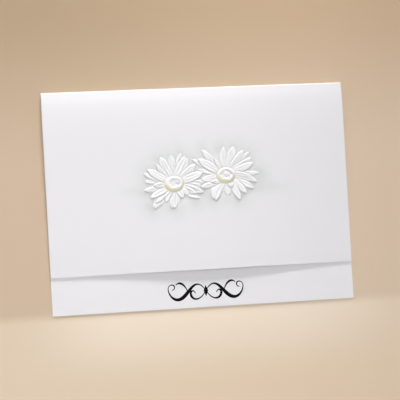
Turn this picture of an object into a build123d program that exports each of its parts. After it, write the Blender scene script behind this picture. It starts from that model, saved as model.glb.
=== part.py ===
from build123d import *
from math import comb, cos, pi, radians, sin
import os

# A greeting card folded once along its top edge, lying on its back. The front flap is shorter than
# the back panel and bows up in the middle of its free edge. Two daisies are embossed in the flap,
# and a flourish of raised ink lies on the strip of the back panel that the flap leaves bare.
# Millimetres. X runs along the card's width, Y up the card towards its fold, Z out of its front.
# The origin is under the card's middle, on the surface that the card lies on.

# Sheet
card_width = 123.8
card_height = 88.9
sheet_thickness = 0.35
strip_height = 15.1
fold_inner_radius = 0.45

# How far the flap's inner face stands off the back panel, as control values of a Bezier surface.
# The bow runs across the card along the free edge, from its left corner to its right one. The
# rows run down the flap from the fold to the free edge: where each row lies, how much of the
# fold's puff it has, and how much of the free edge's bow.
corner_gap = 0.05
fold_puff = 1.0
free_edge_bow = [0, 0.45, -0.5, 1, 2.9, 1.6, 0, 0.45, 0]
row_places = [0, 0.02, 0.06, 0.35, 0.7, 1]
row_puffs = [0, 0.3, 2.2, -0.2, 0.6, 0]
row_bows = [0, 0, 0.1, 0.4, 0.75, 1]

# Embossing: relief over the flap, how deep the rims run into it, and the daisies' centres, each
# given from the middle of the card and down from the fold.
low_relief = 0.4
mid_relief = 0.54
high_relief = 0.68
root_relief = 0.14
emboss_sink = 0.12
left_daisy = (-10.4, 38.8)
right_daisy = (11.1, 36.3)

# The petals of each daisy: direction in degrees, reach from the daisy's centre, greatest width,
# how far the tip bends sideways, relief, and whether a groove runs along the middle.
LOW, MID, HIGH = low_relief, mid_relief, high_relief
left_petals = [
    (74, 13.0, 2.5, 0.0, LOW, False),
    (1, 12.7, 2.3, 0.0, LOW, False),
    (-42, 12.0, 2.0, 2.3, LOW, False),
    (-81, 8.8, 2.6, 0.0, LOW, False),
    (-138, 13.5, 3.8, 1.3, LOW, False),
    (172, 12.4, 2.2, 0.0, LOW, False),
    (159, 13.0, 2.8, 0.0, LOW, False),
    (92, 11.7, 3.3, 0.3, MID, False),
    (62, 12.5, 4.2, 0.0, MID, True),
    (35, 11.8, 3.3, 0.8, MID, True),
    (-6, 11.1, 2.4, 0.0, MID, False),
    (-18, 12.6, 2.9, 0.0, MID, False),
    (-94, 10.5, 3.6, 0.0, MID, False),
    (-118, 8.1, 2.2, 0.0, MID, False),
    (-135, 10.9, 2.3, -0.5, MID, False),
    (-164, 12.4, 2.7, -1.3, MID, False),
    (138, 10.6, 2.2, -1.6, HIGH, False),
    (117, 12.1, 3.5, -0.5, MID, False),
    (17, 12.6, 3.3, 0.4, HIGH, True),
    (-27, 9.8, 2.4, 0.3, HIGH, False),
    (-38, 7.5, 2.5, 0.0, HIGH, False),
    (-59, 6.8, 2.4, 0.0, HIGH, False),
    (-151, 11.1, 2.7, -0.3, HIGH, True),
    (-178, 8.5, 2.3, 0.0, HIGH, False),
    (152, 12.3, 3.1, -0.5, HIGH, False),
]
right_petals = [
    (41, 13.6, 2.1, 0.3, LOW, False),
    (6, 13.8, 2.0, -1.1, LOW, False),
    (153, 15.2, 2.4, 0.0, LOW, False),
    (166, 11.8, 2.2, 0.0, LOW, False),
    (-105, 6.9, 2.0, 0.0, LOW, False),
    (-86, 8.6, 3.0, 0.0, LOW, False),
    (100, 11.4, 3.1, -1.6, MID, False),
    (71, 12.1, 3.5, 0.1, MID, False),
    (49, 12.5, 3.0, 0.6, MID, True),
    (29, 12.7, 2.7, 0.5, MID, True),
    (-21, 12.7, 2.9, -1.4, MID, False),
    (-132, 11.4, 5.0, 2.5, MID, True),
    (-148, 11.3, 2.8, -1.9, MID, False),
    (-173, 10.2, 2.9, 0.3, MID, False),
    (133, 14.2, 3.0, -0.4, MID, True),
    (20, 12.5, 3.0, 0.4, HIGH, True),
    (2, 12.8, 3.1, -3.6, HIGH, False),
    (-39, 11.1, 2.7, -0.7, HIGH, True),
    (-60, 11.6, 2.8, -0.3, HIGH, True),
    (-66, 5.6, 2.4, 0.0, HIGH, False),
    (-140, 6.5, 2.2, -2.3, HIGH, False),
    (150, 13.2, 3.5, -0.5, HIGH, True),
    (123, 8.3, 1.8, 0.0, HIGH, False),
]

# Shape of a petal: where its root lies, the width of its sloping rim, where it is widest as a share
# of its length, how wide its root is as a share of that, and its groove.
petal_root = 2.2
petal_rim = 0.55
rim_share_limit = 0.34
belly_place = 0.56
root_share = 0.42
root_stations = 2
tip_stations = 3
groove_width = 0.6
groove_depth = 0.2
groove_places = (0.12, 0.5, 0.86)

# Centre of a daisy: an oval frustum with a cratered top, set a little up and to the right.
disc_size = (8.1, 6.7)
disc_top_size = (5.6, 4.1)
disc_top_offset = (0.2, 0.45)
disc_height = 0.85
crater_size = (4.3, 2.9)
crater_floor_size = (2.8, 1.7)
crater_depth = 0.16
bump_size = (1.5, 1.0)
bump_height = 0.08
disc_ink_low = 0.34
disc_ink_thickness = 0.04
oval_sides = 20

# Raised ink on the strip
ink_thickness = 0.12
flourish_centre = (0.4, -0.95)
stroke_thin = 0.34
stroke_steps = 18

panel_top = sheet_thickness
fold_outer_radius = fold_inner_radius + sheet_thickness
fold_line = card_height / 2 - fold_outer_radius
free_edge = strip_height - card_height / 2
flap_length = fold_line - free_edge


def bezier(values, t):
    """The Bezier value at t, from 0 to 1, of a list of control values."""
    n = len(values) - 1
    return sum(comb(n, i) * t**i * (1 - t) ** (n - i) * v for i, v in enumerate(values))


def flap_gap(column, row):
    """How far one control point of the flap's inner face stands off the back panel."""
    place = row_places[row]
    base = 2 * fold_inner_radius * (1 - place) + corner_gap * place
    return base + fold_puff * row_puffs[row] + free_edge_bow[column] * row_bows[row]


def flap_points():
    """Control points of the flap's inner face, row by row from the fold to the free edge."""
    last = len(free_edge_bow) - 1
    return [
        [
            Vector(
                card_width * (column / last - 0.5),
                fold_line - flap_length * place,
                panel_top + flap_gap(column, row),
            )
            for column in range(last + 1)
        ]
        for row, place in enumerate(row_places)
    ]


def flap_height(x, y):
    """Height of the flap's outer face over the point (x, y)."""
    along = (fold_line - y) / flap_length
    low, high = 0.0, 1.0
    while high - low > 1e-9:
        middle = (low + high) / 2
        if bezier(row_places, middle) < along:
            low = middle
        else:
            high = middle
    across = x / card_width + 0.5
    columns = range(len(free_edge_bow))
    gaps = [
        bezier([flap_gap(column, row) for column in columns], across)
        for row in range(len(row_places))
    ]
    return panel_top + bezier(gaps, low) + sheet_thickness


def flap_plane(x, y, direction):
    """Plane that touches the flap's outer face over (x, y), with its X along the direction."""
    step = 0.1
    slope_x = (flap_height(x + step, y) - flap_height(x - step, y)) / (2 * step)
    slope_y = (flap_height(x, y + step) - flap_height(x, y - step)) / (2 * step)
    ahead = (cos(radians(direction)), sin(radians(direction)))
    climb = slope_x * ahead[0] + slope_y * ahead[1]
    return Plane(
        (x, y, flap_height(x, y)), x_dir=(*ahead, climb), z_dir=(-slope_x, -slope_y, 1)
    )


def folded_sheet():
    """Back panel, half-turn fold and bowed flap as one solid."""
    panel = Box(
        card_width, fold_line + card_height / 2, sheet_thickness,
        align=(Align.CENTER, Align.MAX, Align.MIN),
    )
    half_turn = Circle(fold_outer_radius) - Circle(fold_inner_radius)
    half_turn &= Pos(fold_outer_radius, 0) * Rectangle(2 * fold_outer_radius, 2 * fold_outer_radius)
    across = Plane.YZ.offset(-card_width / 2)
    fold = extrude(across * Pos(fold_line, panel_top + fold_inner_radius) * half_turn, card_width)
    flap = Solid.extrude(Face.make_bezier_surface(flap_points()), Vector(0, 0, sheet_thickness))
    return Pos(0, fold_line) * panel + fold + flap


def petal_outline():
    """One side of a petal from root to tip, as shares of its length and of half its width."""
    root_turns = [i / root_stations for i in range(root_stations)]
    tip_turns = [i / tip_stations for i in range(tip_stations)]
    root_side = [
        (belly_place * turn, root_share + (1 - root_share) * sin(pi / 2 * turn)) for turn in root_turns
    ]
    tip_side = [
        (belly_place + (1 - belly_place) * sin(pi / 2 * turn), cos(pi / 2 * turn)) for turn in tip_turns
    ]
    return root_side + tip_side


def polyhedron(*faces):
    """A solid from the corner points of its flat faces."""
    return Solid(Shell([Face(Wire.make_polygon(corners)) for corners in faces]))


def tapered(low, high):
    """A solid between two rings of as many corner points, with flat sides split in two."""
    slopes = []
    for i in range(len(low)):
        slopes.append([low[i - 1], low[i], high[i]])
        slopes.append([low[i - 1], high[i], high[i - 1]])
    return polyhedron(low, high, *slopes)


def petal(reach, width, bend, relief, grooved):
    """One petal on the XY plane, pointing along X, with its rim sunk below that plane."""
    length = reach - petal_root
    rim = min(petal_rim, rim_share_limit * width)

    def at(share, side, lift=0.0):
        height = root_relief + (relief - root_relief) * share + lift
        return Vector(petal_root + length * share, side + bend * share**2, height)

    def ring(inset):
        pull = 1 - inset / length
        sides = [(share * pull, part * (width / 2 - inset)) for share, part in petal_outline()]
        return (
            [at(share, -half) for share, half in sides] + [at(pull, 0)]
            + [at(share, half) for share, half in reversed(sides)]
        )

    low = [Vector(point.X, point.Y, -emboss_sink) for point in ring(0)]
    body = tapered(low, ring(rim))
    if grooved:
        start, middle, stop = groove_places
        over = groove_depth / 4
        rim_points = [
            at(start, 0, over), at(middle, -groove_width / 2, over),
            at(stop, 0, over), at(middle, groove_width / 2, over),
        ]
        bottom = at(middle, 0, -groove_depth)
        walls = [[rim_points[i - 1], rim_points[i], bottom] for i in range(4)]
        body -= polyhedron(rim_points, *walls)
    return body


def oval(size, centre, height):
    """Corner points of a many-sided oval at a height, from its full sizes along X and Y."""
    turns = [2 * pi * i / oval_sides for i in range(oval_sides)]
    return [
        Vector(centre[0] + size[0] / 2 * cos(turn), centre[1] + size[1] / 2 * sin(turn), height)
        for turn in turns
    ]


def frustum(low_size, low_centre, low, high_size, high_centre, high):
    """A solid between two ovals at two heights."""
    return tapered(oval(low_size, low_centre, low), oval(high_size, high_centre, high))


def disc():
    """Centre of a daisy: a leaning oval frustum with a crater and a small bump in it."""
    floor = disc_height - crater_depth
    blank = frustum(disc_size, (0, 0), -emboss_sink, disc_top_size, disc_top_offset, disc_height)
    crater = frustum(
        crater_floor_size, disc_top_offset, floor, crater_size, disc_top_offset, disc_height
    )
    bump_top = (bump_size[0] / 2, bump_size[1] / 2)
    bump = frustum(
        bump_size, disc_top_offset, floor, bump_top, disc_top_offset, floor + bump_height
    )
    return blank - crater + bump


def disc_ink():
    """The ink on the slope of a daisy's centre, from above the petals to the top."""
    share = (disc_ink_low + emboss_sink) / (disc_height + emboss_sink)

    def slope_size(grow, part):
        return [low + (high - low) * part + 2 * grow for low, high in zip(disc_size, disc_top_size)]

    low_centre = [share * offset for offset in disc_top_offset]
    outer, inner = [
        frustum(
            slope_size(grow, share), low_centre, disc_ink_low,
            slope_size(grow, 1), disc_top_offset, disc_height,
        )
        for grow in (disc_ink_thickness, 0)
    ]
    return outer - inner


def daisy_place(daisy):
    """The point of the card that a daisy's centre is over."""
    return daisy[0], card_height / 2 - daisy[1]


def daisy_solids(daisy, petals):
    """Every raised solid of one daisy, each set on the flap's outer face."""
    x, y = daisy_place(daisy)
    solids = [flap_plane(x, y, 0).location * disc()]
    for direction, reach, width, bend, relief, grooved in petals:
        middle = (reach + petal_root) / 2
        over_x = x + middle * cos(radians(direction))
        over_y = y + middle * sin(radians(direction))
        seat = flap_plane(over_x, over_y, direction).location * Pos(-middle, 0)
        solids.append(seat * petal(reach, width, bend, relief, grooved))
    return solids


def embossed_card():
    """The folded sheet with both daisies raised in front and hollow behind."""
    solids = daisy_solids(left_daisy, left_petals) + daisy_solids(right_daisy, right_petals)
    raised = solids[0].fuse(*solids[1:])
    hollow = Pos(0, 0, -sheet_thickness) * raised
    return folded_sheet().fuse(raised).cut(hollow)


def stroke(points, thick):
    """A pen stroke along a Bezier curve, thin at both ends and thick in its middle."""
    step = 1e-3

    def place(t):
        return bezier([p[0] for p in points], t), bezier([p[1] for p in points], t)

    sides = [[], []]
    for i in range(stroke_steps + 1):
        t = i / stroke_steps
        x, y = place(t)
        (x0, y0), (x1, y1) = place(t - step), place(t + step)
        along = Vector(x1 - x0, y1 - y0).normalized()
        half = (stroke_thin + (thick - stroke_thin) * sin(pi * t) ** 2) / 2
        for side, sign in zip(sides, (1, -1)):
            side.append(Vector(x - sign * half * along.Y, y + sign * half * along.X))
    left, right = sides
    return Face(Wire.make_polygon(left + right[::-1]))


# Right half of the flourish: control points of each stroke from the flourish's centre, and the
# stroke's greatest width. The lozenge is its middle.
long_swash = [
    (0, -0.2), (2.4, 4.6), (6.4, 5.2), (7.4, -1.4), (9.2, -7), (14.2, -4.8), (16.2, 0.2), (15.2, 2.2),
]
half_strokes = [
    (long_swash, 1.45),
    ([(15.27, 2.06), (14.4, 3.8), (11.9, 3.3), (12.4, 0.9), (13.9, 0.9)], 0.5),
    ([(0, 0.2), (2.4, -4.4), (6, -5.2), (7.6, -1.2), (7, 1.2), (4.6, 0.8), (4.4, -0.9)], 0.95),
    ([(7.3, -0.6), (8.6, 3.8), (11.2, 4.2), (12.2, 2.8)], 0.85),
]
lozenge = [(0, 2.3), (0.95, 0), (0, -2.3), (-0.95, 0)]


def flourish():
    """A symmetrical calligraphic flourish of raised ink."""
    shape = Sketch() + Face(Wire.make_polygon([Vector(*corner) for corner in lozenge]))
    for sign in (1, -1):
        for points, thick in half_strokes:
            shape += stroke([(sign * x, y) for x, y in points], thick)
    middle = (free_edge - card_height / 2) / 2
    place = Pos(flourish_centre[0], middle + flourish_centre[1], panel_top)
    return extrude(place * shape, ink_thickness, dir=(0, 0, 1))


def main():
    os.makedirs("parts", exist_ok=True)
    parts = {"card": embossed_card(), "ink_flourish": flourish()}
    for side, daisy in (("left", left_daisy), ("right", right_daisy)):
        parts[side + "_disc_ink"] = flap_plane(*daisy_place(daisy), 0).location * disc_ink()
    for name, part in parts.items():
        export_step(part, f"parts/{name}.step")


main()
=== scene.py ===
from math import comb, cos, pi, radians, sin
from typing import NamedTuple

import bpy
import numpy as np
from mathutils import Matrix, Vector
from mathutils.geometry import delaunay_2d_cdt


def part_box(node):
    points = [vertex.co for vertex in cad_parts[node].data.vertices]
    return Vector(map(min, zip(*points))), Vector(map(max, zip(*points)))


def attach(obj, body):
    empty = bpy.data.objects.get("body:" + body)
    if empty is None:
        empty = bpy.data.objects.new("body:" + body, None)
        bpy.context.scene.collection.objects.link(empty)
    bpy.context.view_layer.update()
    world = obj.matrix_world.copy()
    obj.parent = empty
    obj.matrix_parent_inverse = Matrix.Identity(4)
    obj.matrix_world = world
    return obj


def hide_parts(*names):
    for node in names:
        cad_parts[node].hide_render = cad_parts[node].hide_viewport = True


# The looks of a greeting card that lies on its back: a folded sheet whose shorter front flap bows
# up along its free edge, with two embossed daisies, and a flourish of raised ink on the strip below
# it. Sizes are in millimetres, and turned into metres where a mesh, material, lamp or camera is
# made. X runs along the card's width, Y up the card towards its fold, Z out of its front.
MM = 0.001

# Sheet: its thickness, the strip of the back panel below the flap, the inside of the fold, and the
# gap under the flap's lower corners
sheet_thickness = 0.35
strip_height = 15.1
fold_inner_radius = 0.45
corner_gap = 0.05

# Flap: rows of control heights at shares of its length from the fold. Each row has a share of the
# puff just past the fold and of the bow of the free edge, which is control heights from the left
# to the right. How far down the rows a point lies is read between so many samples.
fold_puff = 1.0
free_edge_bow = [0, 0.45, -0.5, 1, 2.9, 1.6, 0, 0.45, 0]
row_places = [0, 0.02, 0.06, 0.35, 0.7, 1]
row_puffs = [0, 0.3, 2.2, -0.2, 0.6, 0]
row_bows = [0, 0, 0.1, 0.4, 0.75, 1]
row_samples = 2001

# Petals of each daisy: direction in degrees, reach from the daisy's centre, greatest width, how far
# the tip bends sideways, relief, how many grooves run along it, and how many notches its tip has.
# A petal of higher relief lies over one of lower. A daisy's own place is how far it is to the right
# of the card's middle and how far below the card's upper edge.
LOW, MID, HIGH = 0.4, 0.54, 0.68
left_daisy = (-10.4, 38.8)
left_petals = [
    (74, 13.0, 2.5, 0.0, LOW, 1, 0),
    (1, 12.7, 2.3, 0.0, LOW, 1, 0),
    (-42, 12.0, 2.0, 2.3, LOW, 1, 0),
    (-81, 8.8, 2.6, 0.0, LOW, 1, 1),
    (-138, 13.5, 3.8, 1.3, LOW, 1, 1),
    (172, 12.4, 2.2, 0.0, LOW, 1, 1),
    (159, 13.0, 2.8, 0.0, LOW, 1, 0),
    (92, 11.7, 3.3, 0.3, MID, 2, 0),
    (62, 12.5, 4.2, 0.0, MID, 2, 1),
    (35, 11.8, 3.3, 0.8, MID, 2, 0),
    (-6, 11.1, 2.4, 0.0, MID, 1, 0),
    (-18, 12.6, 2.9, 0.0, MID, 1, 0),
    (-94, 10.5, 3.6, 0.0, MID, 2, 1),
    (-118, 8.1, 2.2, 0.0, MID, 1, 0),
    (-135, 10.9, 2.3, -0.5, MID, 1, 0),
    (-164, 12.4, 2.7, -1.3, MID, 1, 0),
    (138, 10.6, 2.2, -1.6, HIGH, 1, 0),
    (117, 12.1, 3.5, -0.5, MID, 2, 0),
    (17, 12.6, 3.3, 0.4, HIGH, 2, 0),
    (-27, 9.8, 2.4, 0.3, HIGH, 1, 0),
    (-38, 7.5, 2.5, 0.0, HIGH, 1, 0),
    (-59, 6.8, 2.4, 0.0, HIGH, 1, 0),
    (-151, 11.1, 2.7, -0.3, HIGH, 1, 0),
    (-178, 8.5, 2.3, 0.0, HIGH, 1, 0),
    (152, 12.3, 3.1, -0.5, HIGH, 2, 0),
]
right_daisy = (11.1, 36.3)
right_petals = [
    (41, 13.6, 2.1, 0.3, LOW, 1, 0),
    (6, 13.8, 2.0, -1.1, LOW, 1, 0),
    (153, 15.2, 2.4, 0.0, LOW, 1, 0),
    (166, 11.8, 2.2, 0.0, LOW, 1, 0),
    (-105, 6.9, 2.0, 0.0, LOW, 0, 0),
    (-86, 8.6, 3.0, 0.0, LOW, 1, 1),
    (100, 11.4, 3.1, -1.6, MID, 1, 0),
    (71, 12.1, 3.5, 0.1, MID, 2, 0),
    (49, 12.5, 3.0, 0.6, MID, 2, 0),
    (29, 12.7, 2.7, 0.5, MID, 1, 0),
    (-21, 12.7, 2.9, -1.4, MID, 1, 0),
    (-132, 11.4, 5.0, 2.5, MID, 2, 1),
    (-148, 11.3, 2.8, -1.9, MID, 1, 0),
    (-173, 10.2, 2.9, 0.3, MID, 2, 0),
    (133, 14.2, 3.0, -0.4, MID, 2, 0),
    (20, 12.5, 3.0, 0.4, HIGH, 2, 0),
    (2, 12.8, 3.1, -3.6, HIGH, 2, 0),
    (-39, 11.1, 2.7, -0.7, HIGH, 1, 0),
    (-60, 11.6, 2.8, -0.3, HIGH, 1, 0),
    (-66, 5.6, 2.4, 0.0, HIGH, 0, 0),
    (-140, 6.5, 2.2, -2.3, HIGH, 1, 0),
    (150, 13.2, 3.5, -0.5, HIGH, 2, 0),
    (123, 8.3, 1.8, 0.0, HIGH, 1, 0),
]
daisies = [(left_daisy, left_petals), (right_daisy, right_petals)]

# Outline of a petal: where its root lies, where it is widest as a share of its length, how wide its
# root is as a share of that, how pointed its tip is, the notches in the tip, and how many points
# the outline has along each side and round the tip
petal_root = 2.2
belly_place = 0.56
root_share = 0.72
tip_taper = 1.25
notch_depth = 0.9
notch_width = 0.26
side_points = 12
tip_points = 41

# Height of a petal: its relief at the root, the width of its steep rim and how much of the height
# that gives, and the width of the rounding inside the rim as a share of the petal's. One side
# stands a little higher, by a wave that goes on by so many radians from one petal to the next.
root_relief = 0.2
petal_rim = 0.42
rim_part = 0.7
rounding_share = 0.45
lean_height = 0.16
lean_turn = 2.4

# Grooves along a petal: their places as shares of its half width, by how many there are, how much
# of that they lose towards the tip, their size, and where they start and stop along its length
groove_places = {0: (), 1: (0,), 2: (-0.34, 0.3)}
groove_closing = 0.5
groove_depth = 0.18
groove_width = 0.34
groove_start = 0.06
groove_stop = 0.96

# Lines carved round a petal or a daisy's centre into what lies under it, as a share of its height,
# their width, and how far beyond a petal's ends and sides they are worked out
carved_share = 0.75
carved_width = 0.4
disc_carved_share = 0.7
disc_carved_width = 0.35
end_margin = 1.5
side_margin = 2.5

# Painted shade in the embossing's hollows: how many times the heights are blended with those round
# them, and how far below the blend a point takes the full painted shade
hollow_rounds = 10
hollow_depth = 0.16

# Centre of a daisy: a leaning oval frustum that starts below the paper's face and whose slope is a
# little hollow at its foot, a crater in its top, and a bump with a dip in the crater
disc_size = (8.1, 6.7)
disc_top_size = (5.6, 4.1)
disc_top_offset = (0.2, 0.45)
disc_height = 0.85
disc_slope_power = 1.15
emboss_sink = 0.12
crater_size = (4.6, 3.2)
crater_floor_size = (3.6, 2.3)
crater_depth = 0.17
bump_size = (2.5, 1.6)
bump_height = 0.2
dip_size = (1.2, 0.8)
dip_depth = 0.16
bump_sharpness = 1.2

# Small pits in the top of a daisy's centre: how far out they lie as a share of the top's size, and
# how far up the slope they start
pit_count = 110
pit_depth = 0.13
pit_width = 0.28
pit_reach = 0.48
pit_slope = 0.95

# Search for the oval between two others that a point lies on: how far past the upper one it goes,
# and how often it halves the range
oval_limit = 1.2
oval_halvings = 24

# Soft edges of what is painted: the width of a petal's edge, the share of a daisy's centre's slope
# over which its foot turns to the brighter petal white, which is a painted highlight, where on that
# slope the printed yellow ring starts and ends and over what share of it, and how strong the ring
# is on the side towards the fold, where it is paled as a painted highlight on the slope that faces
# the light
petal_blur = 0.3
disc_blur = 0.25
ring_start = 0.02
ring_start_run = 0.16
ring_end = 0.6
ring_end_run = 0.3
ring_lit_top_share = 0.3

# Soft tint printed round the daisies: how far it fades from the petals, how far a near part of it
# does and that part's share, how sharply both fade, and how far out and over what run a daisy's
# bare middle ends. Each wisp at the sides has a middle, half a length and half a height.
tint_reach = 3.4
tint_near_reach = 1.0
tint_near_share = 0.4
tint_power = 1.5
tint_gap = 8.0
tint_gap_run = 2.5
wisps = [((-24.5, 3.4), (6.5, 1.6)), ((29.5, 2.3), (7.5, 1.9)), ((25.0, 6.0), (4.5, 3.2))]
wisp_strength = 0.55

# Mesh of the sheet: the fine patch that holds the daisies, the spacing of its points in front and
# inside, the spacing of all others, how fast one grows into the other, and the steps of the fold
patch_low = (-24.6, -5.6)
patch_high = (25.4, 20.4)
patch_step = 0.15
inner_patch_step = 2 * patch_step
coarse_step = 2.0
spacing_growth = 1.6
fold_steps = 16

# How near two points of the sheet's net or of the ink's are one, how near a point is on a line, and
# what keeps a division off 0
sheet_weld = 1e-5
ink_weld = 1e-4
same_place = 1e-6
tiny = 1e-12

# Flourish of raised ink: right half, as control points of each stroke from its centre, and the
# stroke's greatest width. The lozenge is its middle, with rings of points inside its outline. The
# ink's rim stands a hair off the paper, and the ink is domed over its edge.
ink_height = 0.12
ink_edge = 0.1
ink_rim = 0.015
flourish_centre = (0.4, -0.95)
stroke_thin = 0.34
stroke_steps = 90
stroke_rails = (-1, -0.6, 0, 0.6, 1)
half_strokes = [
    ([(0, -0.2), (2.4, 4.6), (6.4, 5.2), (7.4, -1.4),
      (9.2, -7), (14.2, -4.8), (16.2, 0.2), (15.2, 2.2)], 1.45),
    ([(15.27, 2.06), (14.4, 3.8), (11.9, 3.3), (12.4, 0.9), (13.9, 0.9)], 0.5),
    ([(0, 0.2), (2.4, -4.4), (6, -5.2), (7.6, -1.2), (7, 1.2), (4.6, 0.8), (4.4, -0.9)], 0.95),
    ([(7.3, -0.6), (8.6, 3.8), (11.2, 4.2), (12.2, 2.8)], 0.85),
]
lozenge = [(0, 2.3), (-0.95, 0), (0, -2.3), (0.95, 0)]
lozenge_rings = (0.3, 0.6, 0.9)
lozenge_steps = 8

# Camera: the point of the card that it looks at, where it stands from there, which way is up, the
# focal length and width of its lens and sensor, and the nearest thing that it shows
camera_target = (0.3, -1.2, 0)
camera_offset = (-127.3, -34.8, 650.9)
camera_up = (0.04935, 0.9968, 0.06296)
camera_lens = 147.65
camera_sensor = 36.0
camera_nearest = 10

# Lamps: place, the point that each one faces, width, spread in degrees and power in watts. Then the
# level of the even light from all round.
lamps = {
    "key": ((80, 889, 291), (-35, -10, 0), 190, 25, 0.218),
    "fill": ((-190, 0, 765), (0, 0, 0), 450, 180, 3.12),
}
surround_level = 0.3

# Colours, as linear light
paper_white = (0.835, 0.82, 0.84)
# The petals' white is brighter than the paper's: a painted highlight on the same stock.
petal_highlight_white = (0.975, 0.965, 0.97)
tint_grey = (0.63, 0.655, 0.63)
# Painted shade: the grey that the embossing's hollows are darkened towards.
painted_shade_grey = (0.42, 0.42, 0.41)
disc_yellow = (0.92, 0.87, 0.52)
ink_black = (0.003, 0.003, 0.003)
floor_front_left = (0.735, 0.594, 0.452)
floor_front_right = (0.765, 0.607, 0.446)
# Painted pool of light on the floor close before the card's lower edge.
floor_painted_glow = (0.845, 0.72, 0.586)
floor_far_left = (0.61, 0.47, 0.342)
floor_far_right = (0.70, 0.55, 0.41)
floor_top_left = (0.46, 0.338, 0.224)
floor_top_right = (0.585, 0.426, 0.285)

# Mottle of the card stock: the size of its patches, the level of the darker white that is mixed in,
# the share of it that is everywhere, and the share that the patches add
mottle_size = 9
mottle_level = 0.9
mottle_share = 0.5
mottle_waver = 0.03

# Unevenness of the tint and of the yellow ring, as the size of the patches and the strength where
# the pattern is 0 and how much the pattern adds, and how much of the painted shade's grey a hollow
# takes
tint_patch_size = 4.5
tint_patch_least = 0.15
tint_patch_gain = 1.1
ring_patch_size = 0.8
ring_patch_least = -0.1
ring_patch_gain = 2.0
painted_shade_strength = 0.55

# Skin of the card stock and of the ink: the sizes of their grain, the fibres' share, how far the
# grain stands out, and how much of it shows
felt_size = 0.7
fibre_size = 0.12
fibre_share = 0.45
ink_skin_size = 0.35
bump_reach = 0.02
stock_bump = 0.25
ink_bump = 0.2

# Floor: half its width and how far it lies below the card, which keeps the two faces apart
floor_half_width = 3000
floor_drop = 0.01

# Where along Y the floor turns from its front colours to its far ones, and from there to its top
# ones, and where along X from its left colours to its right ones
floor_turn = (-47.5, -42.5)
floor_fade = (10, 85)
floor_across = (-70, 70)

# Where the painted pool of light on the floor close before the card's lower edge sets in, from
# the front, the left and the right
glow_front = (-76, -47)
glow_left = (-82, -32)
glow_right = (100, 36)

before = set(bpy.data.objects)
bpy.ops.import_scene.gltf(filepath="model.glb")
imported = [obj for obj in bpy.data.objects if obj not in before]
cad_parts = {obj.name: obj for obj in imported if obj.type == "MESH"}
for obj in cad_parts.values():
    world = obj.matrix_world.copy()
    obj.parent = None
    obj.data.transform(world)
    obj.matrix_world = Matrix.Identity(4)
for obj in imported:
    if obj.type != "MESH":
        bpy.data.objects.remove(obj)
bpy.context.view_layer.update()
card_low, card_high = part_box("card")
card_width = (card_high.x - card_low.x) / MM
card_height = (card_high.y - card_low.y) / MM

panel_top = sheet_thickness
fold_outer_radius = fold_inner_radius + sheet_thickness
fold_line = card_height / 2 - fold_outer_radius
free_edge = strip_height - card_height / 2
flap_length = fold_line - free_edge


class Petal(NamedTuple):
    """One row of a daisy's list of petals."""

    direction: float
    reach: float
    width: float
    bend: float
    relief: float
    grooves: int
    notches: int

    @property
    def length(self):
        """Length of the petal from its root to its tip."""
        return self.reach - petal_root


def bezier(values, t):
    """The Bezier value at t, from 0 to 1, of a list of control values. Either may hold arrays."""
    n = len(values) - 1
    return sum(comb(n, i) * t**i * (1 - t) ** (n - i) * v for i, v in enumerate(values))


def flap_underside(x, y):
    """Height of the flap's inner face over each point, before the embossing."""
    turns = np.linspace(0, 1, row_samples)
    down = np.interp((fold_line - y) / flap_length, bezier(row_places, turns), turns)
    bow = bezier(free_edge_bow, x / card_width + 0.5)
    rows = [
        2 * fold_inner_radius * (1 - place) + corner_gap * place + fold_puff * puff + bow * share
        for place, puff, share in zip(row_places, row_puffs, row_bows)
    ]
    return panel_top + bezier(rows, down)


def soft_step(t):
    """0 below 0, 1 above 1, and a smooth rise between them."""
    t = np.clip(t, 0, 1)
    return t * t * (3 - 2 * t)


def edge_distance(x, y, start, stop):
    """Distance of each point from the straight edge between two others."""
    (ax, ay), (bx, by) = start, stop
    ex, ey = bx - ax, by - ay
    along = np.clip(((x - ax) * ex + (y - ay) * ey) / (ex * ex + ey * ey + tiny), 0, 1)
    return np.hypot(x - ax - along * ex, y - ay - along * ey)


def inside_distance(x, y, outline):
    """Distance of each point from a closed outline, above 0 inside it and below 0 outside."""
    nearest = np.full(x.shape, np.inf)
    inside = np.zeros(x.shape, bool)
    for (ax, ay), (bx, by) in zip(outline, np.roll(outline, -1, axis=0)):
        nearest = np.minimum(nearest, edge_distance(x, y, (ax, ay), (bx, by)))
        if ay != by:
            inside ^= ((ay > y) != (by > y)) & (x < ax + (y - ay) * (bx - ax) / (by - ay))
    return np.where(inside, nearest, -nearest)


def turned(x, y, direction):
    """How far points lie along a direction in degrees, and how far to the left of it."""
    turn = radians(direction)
    return x * cos(turn) + y * sin(turn), y * cos(turn) - x * sin(turn)


def petal_outline(petal):
    """Closed outline of a petal whose root is at the origin and that points along X."""
    turns = np.linspace(0, pi / 2, side_points)
    side_shares = belly_place * turns / (pi / 2)
    halves = root_share + (1 - root_share) * np.sin(turns)
    tip = np.linspace(pi / 2, -pi / 2, tip_points)[1:-1]
    tip_shares = belly_place + (1 - belly_place) * np.cos(tip)
    tip_halves = np.sign(tip) * np.abs(np.sin(tip)) ** tip_taper
    share = np.concatenate([side_shares, tip_shares, side_shares[::-1]])
    side = np.concatenate([halves, tip_halves, -halves[::-1]])
    places = [(i + 1) / (petal.notches + 1) * 2 - 1 for i in range(petal.notches)]
    pull = sum(np.exp(-(((side - place) / notch_width) ** 2)) for place in places)
    along = petal.length * share - notch_depth * pull * (share > belly_place)
    return np.stack([along, side * petal.width / 2 + petal.bend * share**2], axis=1)


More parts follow.
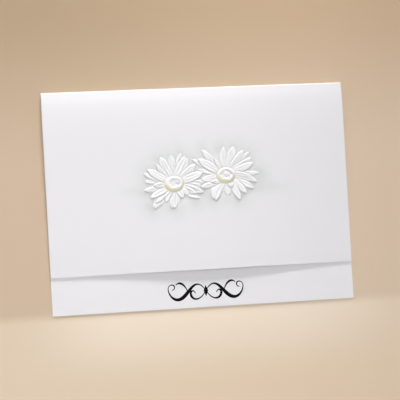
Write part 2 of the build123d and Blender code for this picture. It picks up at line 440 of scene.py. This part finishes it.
def petal_height(petal, along, side, distance, lean):
    """Height of a petal over points inside it, from their place on it and distance to its rim."""
    share = np.clip(along / petal.length, 0, 1)
    across = (side - petal.bend * share**2) / (petal.width / 2)
    top = root_relief + (petal.relief - root_relief) * share
    steep = np.clip(1 - distance / petal_rim, 0, 1)
    rounding = np.clip(1 - distance / (rounding_share * petal.width), 0, 1)
    rise = rim_part * (1 - steep**2) + (1 - rim_part) * (1 - rounding**2)
    grooved = np.clip((share - groove_start) / (groove_stop - groove_start), 0, 1)
    window = np.sqrt(np.sin(pi * grooved))
    for place in groove_places[petal.grooves]:
        off = (across - place * (1 - groove_closing * share**3)) * petal.width / 2
        top = top - groove_depth * window * np.exp(-((off / groove_width) ** 2))
    return (top + lean * across * window) * rise


def oval_out(x, y, size):
    """How far out each point lies in an oval round the origin: 0 in its middle, 1 on its rim."""
    return np.hypot(x / size[0], y / size[1]) * 2


def oval_share(x, y, low_size, high_size, high_centre):
    """How far each point is from the low oval round the origin, 0, to the high one inside it, 1."""
    low, high = np.zeros(x.shape), np.full(x.shape, oval_limit)
    for _ in range(oval_halvings):
        middle = (low + high) / 2
        u, v = (
            (place - centre * middle) * 2 / (wide + (narrow - wide) * middle)
            for place, centre, wide, narrow in zip((x, y), high_centre, low_size, high_size)
        )
        inside = np.hypot(u, v) < 1
        low, high = np.where(inside, middle, low), np.where(inside, high, middle)
    return (low + high) / 2


def disc_pits(seed):
    """Places of the pits in a daisy's centre, and their depths, which are below 0."""
    draw = np.random.default_rng(seed)
    turn = draw.uniform(0, 2 * pi, pit_count)
    out = np.sqrt(draw.uniform(0, 1, pit_count)) * pit_reach
    depth = draw.uniform(-1, 0, pit_count) * pit_depth
    x = disc_top_offset[0] + out * disc_top_size[0] * np.cos(turn)
    y = disc_top_offset[1] + out * disc_top_size[1] * np.sin(turn)
    return zip(x, y, depth)


def disc_height_over(x, y, pits):
    """Height of a daisy's centre over points given from it, and how far up its slope each lies."""
    slope = np.clip(oval_share(x, y, disc_size, disc_top_size, disc_top_offset), 0, 1)
    lifted = np.sin(slope * pi / 2) ** disc_slope_power
    height = (disc_height + emboss_sink) * lifted - emboss_sink
    top_x, top_y = x - disc_top_offset[0], y - disc_top_offset[1]
    crater = oval_share(top_x, top_y, crater_size, crater_floor_size, (0, 0))
    height -= crater_depth * soft_step(crater)
    for size, rise in ((bump_size, bump_height), (dip_size, -dip_depth)):
        height += rise * np.exp(-(oval_out(top_x, top_y, size) ** 2) * bump_sharpness)
    for pit_x, pit_y, depth in pits:
        near = np.exp(-((x - pit_x) ** 2 + (y - pit_y) ** 2) / pit_width**2)
        height += depth * near * (slope > pit_slope)
    return height, slope


def daisy_places():
    """Each daisy's number, the place of its centre on the card, and its petals."""
    for number, ((x, down), rows) in enumerate(daisies):
        yield number, x, card_height / 2 - down, [Petal(*row) for row in rows]


def petals_low_first():
    """All petals in the order in which they overlap, each with its daisy's number and place and its
    own number in that daisy."""
    entries = [
        (number, x, y, i, petal)
        for number, x, y, petals in daisy_places()
        for i, petal in enumerate(petals)
    ]
    return sorted(entries, key=lambda entry: entry[-1].relief)


def carved(height, outside, share, width):
    """Heights with a soft line carved into them, from how far outside a form each point lies."""
    return height * (1 - share * np.exp(-((np.maximum(outside, 0) / width) ** 2)))


def ring_strength(slope, up):
    """Strength of the yellow ring, from how far up the slope of a daisy's centre and how far up the
    card from its middle each point lies. The printed ring is paled towards the fold, a painted
    highlight on the slope that faces the light."""
    started = soft_step((slope - ring_start) / ring_start_run)
    ended = soft_step((slope - ring_end) / ring_end_run)
    # Painted highlight: the ring pales on the upper side, whose slope faces the light.
    fade = 1 - (1 - ring_lit_top_share) * soft_step(up / disc_size[1] + 0.5)
    return started * (1 - ended) * fade


def smoothed(field):
    """A grid of values with each one blended with its neighbours."""
    padded = np.pad(field, 1, mode="edge")
    rows = (padded[:-2] + 2 * padded[1:-1] + padded[2:]) / 4
    return (rows[:, :-2] + 2 * rows[:, 1:-1] + rows[:, 2:]) / 4


def painted_hollow_shade(height):
    """How far each point of a grid of heights lies in a hollow, from 0 to 1, which sets its painted
    shade.
    """
    around = height
    for _ in range(hollow_rounds):
        around = smoothed(around)
    return np.clip((around - height) / hollow_depth, 0, 1)


def embossing(x, y):
    """Height of the embossing over a grid of points, and at each point the share that is petal,
    which also takes the painted highlight, the strength of the yellow ring and how far it lies in a
    hollow, which sets its painted shade."""
    height, petal_and_highlight, ring = (np.zeros(x.shape) for _ in range(3))
    for number, cx, cy, i, petal in petals_low_first():
        along, side = turned(x - cx, y - cy, petal.direction)
        along = along - petal_root
        near = (along > -end_margin) & (along < petal.length + end_margin)
        near &= abs(side) < petal.width / 2 + side_margin
        a, s = along[near], side[near]
        distance = inside_distance(a, s, petal_outline(petal))
        lean = lean_height * sin(lean_turn * i + number)
        over = petal_height(petal, a, s, distance, lean)
        under = carved(height[near], -distance, carved_share, carved_width)
        height[near] = np.where(distance > 0, np.maximum(under, over), under)
        # A petal's share, which is kept free of the tint and also takes the painted highlight.
        petal_and_highlight[near] = np.maximum(petal_and_highlight[near], soft_step(distance / petal_blur + 0.5))
    for number, cx, cy, _ in daisy_places():
        near = np.hypot(x - cx, y - cy) < disc_size[0]
        dx, dy = x[near] - cx, y[near] - cy
        over, slope = disc_height_over(dx, dy, disc_pits(number))
        outside = (oval_out(dx, dy, disc_size) - 1) * disc_size[1] / 2
        under = carved(height[near], outside, disc_carved_share, disc_carved_width)
        height[near] = np.maximum(under, over)
        petal_and_highlight[near] = np.maximum(petal_and_highlight[near], soft_step(slope / disc_blur))
        ring[near] = np.maximum(ring[near], ring_strength(slope, dy))
    height = np.maximum(height, 0)
    return height, petal_and_highlight, ring, painted_hollow_shade(height)


def tint(x, y):
    """Strength of the printed tint over each point of the flap. A petal counts here as a straight
    bar of two thirds of its width."""
    nearest = np.full(x.shape, np.inf)
    outside_middles = np.ones(x.shape)
    for _, cx, cy, petals in daisy_places():
        for petal in petals:
            along, side = turned(x - cx, y - cy, petal.direction)
            past = np.maximum(abs(along - (petal_root + petal.reach) / 2) - petal.length / 2, 0)
            beside = np.maximum(abs(side) - petal.width / 3, 0)
            nearest = np.minimum(nearest, np.hypot(past, beside))
        outside_middles *= soft_step((np.hypot(x - cx, y - cy) - tint_gap) / tint_gap_run)
    far = np.exp(-((nearest / tint_reach) ** tint_power))
    near = np.exp(-((nearest / tint_near_reach) ** tint_power))
    strength = (far + tint_near_share * (near - far)) * outside_middles
    for (wx, wy), (length, height) in wisps:
        wisp = np.exp(-(((x - wx) / length) ** 2) - ((y - wy) / height) ** 2)
        strength += wisp_strength * wisp
    return np.clip(strength, 0, 1)


def steps_between(low, high, step):
    """Evenly spaced places from low to high, about a step apart."""
    return np.linspace(low, high, max(round((high - low) / step), 1) + 1)


def rectangle(low, high, step):
    """Points round a rectangle, about a step apart, in order."""
    xs, ys = (steps_between(low[i], high[i], step) for i in range(2))
    return (
        [(x, low[1]) for x in xs[:-1]] + [(high[0], y) for y in ys[:-1]]
        + [(x, high[1]) for x in xs[:0:-1]] + [(low[0], y) for y in ys[:0:-1]]
    )


def patch_grid(step):
    """The fine patch round the daisies: its points, a grid of their numbers, and its faces."""
    xs, ys = (steps_between(patch_low[i], patch_high[i], step) for i in range(2))
    points = np.stack([places.ravel() for places in np.meshgrid(xs, ys)], axis=1)
    grid = np.arange(len(points)).reshape(len(ys), len(xs))
    corners = grid[:-1, :-1], grid[:-1, 1:], grid[1:, 1:], grid[1:, :-1]
    faces = np.stack(corners, axis=-1).reshape(-1, 4).tolist()
    return points, grid, [tuple(face) for face in faces]


def points_round_patch(step):
    """Points over the rest of the flap, whose spacing grows from the patch's step outwards."""
    flap_low, flap_high = (-card_width / 2, free_edge), (card_width / 2, fold_line)
    loose = rectangle(flap_low, flap_high, coarse_step)
    gap, spacing = 0, step
    while spacing * spacing_growth < coarse_step:
        spacing *= spacing_growth
        gap += spacing
        low = [place - gap for place in patch_low]
        high = [place + gap for place in patch_high]
        loose += rectangle(low, high, spacing)
    for x in steps_between(flap_low[0], flap_high[0], coarse_step)[1:-1]:
        for y in steps_between(flap_low[1], flap_high[1], coarse_step)[1:-1]:
            clear = max(patch_low[0] - x, x - patch_high[0], patch_low[1] - y, y - patch_high[1])
            if clear > gap + coarse_step / 2:
                loose.append((x, y))
    return loose


def flap_net(step):
    """Points over the flap, the numbers of those on its fine patch as a grid, and the faces."""
    points, grid, faces = patch_grid(step)
    loose = points_round_patch(step)
    rim = [*grid[0, :-1], *grid[:-1, -1], *grid[-1, :0:-1], *grid[:0:-1, 0]]
    entries = [Vector(points[i]) for i in rim] + [Vector(p) for p in loose]
    names = rim + [len(points) + i for i in range(len(loose))]
    edges = [(i, (i + 1) % len(rim)) for i in range(len(rim))]
    _, _, triangles, origins, _, _ = delaunay_2d_cdt(entries, edges, [], 0, sheet_weld, True)
    points = np.concatenate([points, np.array(loose)])
    for triangle in triangles:
        corners = [names[origins[i][0]] for i in triangle]
        x, y = points[corners].mean(axis=0)
        if not (patch_low[0] < x < patch_high[0] and patch_low[1] < y < patch_high[1]):
            faces.append(tuple(corners))
    return points, grid, faces


def linked(name, data):
    """A new object in the scene."""
    thing = bpy.data.objects.new(name, data)
    bpy.context.scene.collection.objects.link(thing)
    return thing


def flatten(mesh, first):
    """Shades a mesh smooth, with flat faces and sharp edges from a face number on."""
    smooth = np.arange(len(mesh.polygons)) < first
    mesh.polygons.foreach_set("use_smooth", smooth)
    start = mesh.polygons[first].loop_start
    edge_of_loop = np.zeros(len(mesh.loops), np.int32)
    mesh.loops.foreach_get("edge_index", edge_of_loop)
    sharp = np.zeros(len(mesh.edges), bool)
    sharp[edge_of_loop[start:]] = True
    mesh.edges.foreach_set("use_edge_sharp", sharp)


class Sheet:
    """Points and faces of the card's mesh as they are gathered, and the strengths of the print, the
    painted highlight and the painted shade.
    """

    def __init__(self):
        self.points, self.faces, self.flat_faces = [], [], []
        self.count = 0
        self.strengths = {"tint": [], "petal": [], "ring": [], "hollow": []}

    def add(self, points, faces=(), **strengths):
        """Adds points and faces that are numbered among them, and returns the points' numbers."""
        start = self.count
        self.points.append(np.asarray(points, float))
        self.count += len(points)
        self.faces += [tuple(start + i for i in face) for face in faces]
        for name, gathered in self.strengths.items():
            gathered.append(strengths.get(name, np.zeros(len(points))))
        return np.arange(start, self.count)

    def join(self, first, second, flat=False):
        """Joins two rows of as many points with four-sided faces."""
        faces = self.flat_faces if flat else self.faces
        corners = first[:-1], first[1:], second[1:], second[:-1]
        faces += zip(*(numbers.tolist() for numbers in corners))

    def mesh(self, name):
        """The mesh, in metres, with flat cut edges and smooth faces."""
        mesh = bpy.data.meshes.new(name)
        points = np.concatenate(self.points) * MM
        mesh.from_pydata(points.tolist(), [], self.faces + self.flat_faces)
        flatten(mesh, len(self.faces))
        for strength, gathered in self.strengths.items():
            layer = mesh.attributes.new(strength, "FLOAT", "POINT")
            layer.data.foreach_set("value", np.concatenate(gathered).astype(np.float32))
        return mesh


def row_at(points, numbers, axis, value):
    """Numbers of the points whose place along an axis has a value, in order along the other."""
    on = np.abs(points[:, axis] - value) < same_place
    return numbers[on][np.argsort(points[on, 1 - axis])]


def add_flap_side(sheet, outer):
    """Adds the flap's outer or inner side to the sheet, and returns its points and their numbers.
    Only the outer side is painted."""
    points, grid, faces = flap_net(patch_step if outer else inner_patch_step)
    x, y = points.T
    raised, petal_and_highlight, ring, hollow = embossing(x[grid], y[grid])
    z = flap_underside(x, y) + (sheet_thickness if outer else 0)
    z[:grid.size] += raised.ravel()
    strengths = {}
    if outer:
        rest = np.zeros(len(points) - grid.size)
        on_patch = {"petal": petal_and_highlight, "ring": ring, "hollow": hollow}
        strengths = {name: np.append(field.ravel(), rest) for name, field in on_patch.items()}
        strengths["tint"] = tint(x, y)
    else:
        faces = [face[::-1] for face in faces]
    return points, sheet.add(np.stack([x, y, z], axis=1), faces, **strengths)


def add_back_side(sheet, points, numbers, outer):
    """Adds the half-turn of the fold and the back panel to one side of the flap, and returns the
    rows of points along the four edges of that side of the whole sheet."""
    radius, panel_z = (fold_outer_radius, 0) if outer else (fold_inner_radius, panel_top)
    rows = [row_at(points, numbers, 1, fold_line)]
    xs = np.sort(points[np.abs(points[:, 1] - fold_line) < same_place, 0])
    for turn in np.linspace(pi / 2, -pi / 2, fold_steps + 1)[1:]:
        y = fold_line + radius * cos(turn)
        z = panel_top + fold_inner_radius + radius * sin(turn)
        rows.append(sheet.add([(x, y, z) for x in xs]))
    for y in steps_between(-card_height / 2, fold_line, coarse_step)[-2::-1]:
        rows.append(sheet.add([(x, y, panel_z) for x in xs]))
    for pair in zip(rows, rows[1:]):
        sheet.join(*(pair if outer else pair[::-1]))
    left, right = (row_at(points, numbers, 0, side * card_width / 2) for side in (-1, 1))
    return {
        "flap": row_at(points, numbers, 1, free_edge),
        "panel": rows[-1],
        "left": np.append(left, [row[0] for row in rows[1:]]),
        "right": np.append(right, [row[-1] for row in rows[1:]]),
    }


def card_sheet():
    """The folded and embossed sheet as one closed mesh."""
    sheet = Sheet()
    outer_flap = add_flap_side(sheet, outer=True)
    inner_flap = add_flap_side(sheet, outer=False)
    outer = add_back_side(sheet, *outer_flap, outer=True)
    inner = add_back_side(sheet, *inner_flap, outer=False)
    sheet.join(inner["flap"], outer["flap"], flat=True)
    sheet.join(outer["panel"], inner["panel"], flat=True)
    sheet.join(outer["left"], inner["left"], flat=True)
    sheet.join(inner["right"], outer["right"], flat=True)
    return linked("card_sheet", sheet.mesh("card_sheet"))


def stroke_rows(points, thick):
    """Rows of points along a pen stroke: its two sides and the rails between them."""
    t = np.linspace(0, 1, stroke_steps + 1)
    x, y = (bezier(places, t) for places in zip(*points))
    dx, dy = np.gradient(x, t), np.gradient(y, t)
    speed = np.hypot(dx, dy)
    half = (stroke_thin + (thick - stroke_thin) * np.sin(pi * t) ** 2) / 2
    return [
        np.stack([x - rail * half * dy / speed, y + rail * half * dx / speed], axis=1)
        for rail in stroke_rails
    ]


def flourish_lines():
    """Outlines of the flourish's strokes and lozenge, and rows of points inside them."""
    outlines, inner = [np.array(lozenge)], []
    for sign in (1, -1):
        for points, thick in half_strokes:
            rows = stroke_rows([(sign * x, y) for x, y in points], thick)
            outlines.append(np.concatenate([rows[0], rows[-1][::-1]]))
            inner += rows[1:-1]
    shares = np.linspace(0, 1, lozenge_steps, endpoint=False)[:, None]
    for ring in lozenge_rings:
        corners = np.array(lozenge) * (1 - ring)
        sides = zip(corners, np.roll(corners, -1, axis=0))
        inner.append(np.concatenate([a + (b - a) * shares for a, b in sides]))
    return outlines, inner


def flourish_net():
    """The flourish's points round its centre, its triangles and the edges of its outline."""
    outlines, inner = flourish_lines()
    entries, faces = [], []
    for outline in outlines:
        faces.append(list(range(len(entries), len(entries) + len(outline))))
        entries += [Vector(p) for p in outline]
    entries += [Vector(p) for row in inner for p in row]
    points, _, triangles, _, _, owners = delaunay_2d_cdt(entries, [], faces, 1, ink_weld, True)
    triangles = [list(t) for t, owner in zip(triangles, owners) if owner]
    kept = sorted({i for t in triangles for i in t})
    number = {old: new for new, old in enumerate(kept)}
    triangles = [tuple(number[i] for i in t) for t in triangles]
    used = {}
    for a, b, c in triangles:
        for edge in ((a, b), (b, c), (c, a)):
            used.setdefault(frozenset(edge), []).append(edge)
    rim = [edges[0] for edges in used.values() if len(edges) == 1]
    return np.array([tuple(points[i]) for i in kept]), triangles, rim


def ink_flourish():
    """A symmetrical calligraphic flourish of raised ink, domed like a drop."""
    flat, top, rim = flourish_net()
    depth = np.full(len(flat), np.inf)
    for a, b in rim:
        depth = np.minimum(depth, edge_distance(*flat.T, flat[a], flat[b]))
    height = ink_height - (ink_height - ink_rim) * np.exp(-depth / ink_edge)
    strip_middle = (free_edge - card_height / 2) / 2
    x, y = flat[:, 0] + flourish_centre[0], flat[:, 1] + strip_middle + flourish_centre[1]
    levels = (panel_top + height, np.full(len(flat), panel_top))
    points = np.concatenate([np.stack([x, y, z], axis=1) for z in levels]) * MM
    bottom = [tuple(len(flat) + i for i in face[::-1]) for face in top]
    wall = [(b, a, len(flat) + a, len(flat) + b) for a, b in rim]
    mesh = bpy.data.meshes.new("ink_flourish_look")
    mesh.from_pydata(points.tolist(), [], top + wall + bottom)
    flatten(mesh, len(top))
    return linked("ink_flourish_look", mesh)


class Shader:
    """A material's node tree, with short calls that add a node and wire it."""

    def __init__(self, name):
        self.material = bpy.data.materials.new(name)
        self.material.use_nodes = True
        self.tree = self.material.node_tree
        self.principled = self.tree.nodes["Principled BSDF"]

    def node(self, kind, **settings):
        """A new node, with its own settings and its inputs by name."""
        node = self.tree.nodes.new(kind)
        inputs = settings.pop("inputs", {})
        for key, value in settings.items():
            setattr(node, key, value)
        for key, value in inputs.items():
            self.wire(node.inputs[key], value)
        return node

    def wire(self, socket, value):
        """Gives an input a value, or links it to another node's output."""
        if isinstance(value, bpy.types.NodeSocket):
            self.tree.links.new(value, socket)
        else:
            socket.default_value = value

    def math(self, operation, *values, clamp=False):
        """The output of a math node."""
        inputs = dict(enumerate(values))
        node = self.node("ShaderNodeMath", operation=operation, use_clamp=clamp, inputs=inputs)
        return node.outputs[0]

    def mix(self, factor, first, second):
        """The output of a colour mix, whose sockets go by number because their names repeat."""
        inputs = {0: factor, 6: first, 7: second}
        return self.node("ShaderNodeMix", data_type="RGBA", inputs=inputs).outputs[2]

    def noise(self, size, detail=3.0):
        """A noise pattern whose patches are about a size across, in millimetres."""
        place = self.node("ShaderNodeTexCoord").outputs["Object"]
        inputs = {"Vector": place, "Scale": 1 / (size * MM), "Detail": detail}
        return self.node("ShaderNodeTexNoise", inputs=inputs).outputs[0]

    def bump(self, strength, height):
        """A normal that a pattern of heights tilts."""
        inputs = {"Strength": strength, "Distance": bump_reach * MM, "Height": height}
        return self.node("ShaderNodeBump", inputs=inputs).outputs[0]

    def attribute(self, name):
        """The value that the mesh holds at each point under a name."""
        return self.node("ShaderNodeAttribute", attribute_name=name).outputs["Fac"]

    def surface(self, values):
        """Sets the main shader's inputs by name, and returns the material."""
        for key, value in values.items():
            self.wire(self.principled.inputs[key], value)
        return self.material


def opaque(colour):
    """A colour with full alpha."""
    return (*colour, 1.0)


def card_stock():
    """Smooth uncoated card: a faint mottle, fine fibres, the printed tint, the yellow rings, a
    painted highlight on the petals and painted shade in the hollows.
    """
    shader = Shader("card_stock")
    # Painted highlight: the petals and the foot of each daisy's centre take a brighter white.
    petal = shader.attribute("petal")
    base = shader.mix(petal, opaque(paper_white), opaque(petal_highlight_white))

    mottle = shader.math("MULTIPLY_ADD", shader.noise(mottle_size), mottle_waver, mottle_share)
    base = shader.mix(mottle, base, opaque([c * mottle_level for c in paper_white]))

    patches = shader.noise(tint_patch_size)
    uneven = shader.math("MULTIPLY_ADD", patches, tint_patch_gain, tint_patch_least)
    printed = shader.math("MULTIPLY", shader.attribute("tint"), uneven, clamp=True)
    bare = shader.math("SUBTRACT", 1.0, petal, clamp=True)
    base = shader.mix(shader.math("MULTIPLY", printed, bare), base, opaque(tint_grey))

    patches = shader.noise(ring_patch_size)
    uneven = shader.math("MULTIPLY_ADD", patches, ring_patch_gain, ring_patch_least)
    ring = shader.math("MULTIPLY", shader.attribute("ring"), uneven, clamp=True)
    base = shader.mix(ring, base, opaque(disc_yellow))

    # Painted shade: the embossing's hollows are darkened towards a grey.
    shade = shader.math("MULTIPLY", shader.attribute("hollow"), painted_shade_strength)
    base = shader.mix(shade, base, opaque(painted_shade_grey))

    felt = shader.noise(felt_size, detail=4.0)
    grain = shader.math("MULTIPLY_ADD", shader.noise(fibre_size), fibre_share, felt)
    return shader.surface({
        "Base Color": base, "Roughness": 0.8, "Specular IOR Level": 0.3,
        "Normal": shader.bump(stock_bump, grain),
    })


def black_ink():
    """Deep black raised ink with a low sheen and a faintly uneven skin."""
    shader = Shader("black_ink")
    return shader.surface({
        "Base Color": opaque(ink_black), "Roughness": 0.5, "Specular IOR Level": 0.06,
        "Normal": shader.bump(ink_bump, shader.noise(ink_skin_size, detail=2.0)),
    })


def floor_paint():
    """A plain pale floor, a little deeper beyond the card and paler close before it, where a pool
    of light is painted.
    """
    shader = Shader("floor_paint")
    place = shader.node("ShaderNodeTexCoord").outputs["Object"]
    split = shader.node("ShaderNodeSeparateXYZ", inputs={0: place})

    def fade(axis, places):
        """How far along an axis a point is from the first place to the second, from 0 to 1."""
        return shader.node("ShaderNodeMapRange", interpolation_type="SMOOTHSTEP", inputs={
            "Value": split.outputs[axis], "From Min": places[0] * MM, "From Max": places[1] * MM,
        }).outputs[0]

    across = fade("X", floor_across)
    far = shader.mix(across, opaque(floor_far_left), opaque(floor_far_right))
    top = shader.mix(across, opaque(floor_top_left), opaque(floor_top_right))
    beyond = shader.mix(fade("Y", floor_fade), far, top)
    # Painted pool of light close before the card's lower edge.
    glow = shader.math("MULTIPLY", fade("X", glow_left), fade("X", glow_right))
    glow = shader.math("MULTIPLY", glow, fade("Y", glow_front))
    front = shader.mix(across, opaque(floor_front_left), opaque(floor_front_right))
    before = shader.mix(glow, front, opaque(floor_painted_glow))
    colour = shader.mix(fade("Y", floor_turn), before, beyond)
    return shader.surface({"Base Color": colour, "Roughness": 0.9, "Specular IOR Level": 0.1})


def place_piece(piece, slot, material, *nodes):
    """Paints a piece, rides it on the card and lets it stand for some of the card's solids."""
    piece.data.materials.append(material)
    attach(piece, "root")
    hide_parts(*nodes)


def floor():
    """The plain floor that the card lies on."""
    half = floor_half_width * MM
    mesh = bpy.data.meshes.new("floor")
    corners = [(-half, -half, 0), (half, -half, 0), (half, half, 0), (-half, half, 0)]
    mesh.from_pydata(corners, [], [(0, 1, 2, 3)])
    mesh.materials.append(floor_paint())
    plane = linked("floor", mesh)
    plane.location.z = -floor_drop * MM


def softbox(name, place, target, size, spread, power):
    """A square lamp that faces a point, in millimetres, degrees and watts."""
    lamp = bpy.data.lights.new(name, "AREA")
    lamp.size = size * MM
    lamp.spread = radians(spread)
    lamp.energy = power
    box = linked(name, lamp)
    box.location = Vector(place) * MM
    box.rotation_euler = (Vector(target) - Vector(place)).to_track_quat("-Z", "Y").to_euler()
    box.visible_camera = False


def light():
    """A narrow key from beyond the fold, a wide fill from above, and an even surround."""
    for name, settings in lamps.items():
        softbox(name, *settings)
    world = bpy.data.worlds.new("surround")
    world.use_nodes = True
    background = world.node_tree.nodes["Background"]
    background.inputs["Color"].default_value = opaque((1, 1, 1))
    background.inputs["Strength"].default_value = surround_level
    bpy.context.scene.world = world


def camera():
    """The camera at the photograph's viewing angle."""
    target, offset = Vector(camera_target) * MM, Vector(camera_offset) * MM
    back = offset.normalized()
    right = Vector(camera_up).cross(back).normalized()
    up = back.cross(right)
    data = bpy.data.cameras.new("camera")
    data.lens = camera_lens
    data.sensor_width = camera_sensor
    data.clip_start = camera_nearest * MM
    eye = linked("camera", data)
    turn = Matrix((right, up, back)).transposed().to_4x4()
    eye.matrix_world = Matrix.Translation(target + offset) @ turn
    bpy.context.scene.camera = eye


place_piece(card_sheet(), "card_stock", card_stock(), "card", "left_disc_ink", "right_disc_ink")
place_piece(ink_flourish(), "black_ink", black_ink(), "ink_flourish")
floor()
light()
camera()
bpy.context.scene.view_settings.view_transform = "Standard"

bpy.context.view_layer.update()
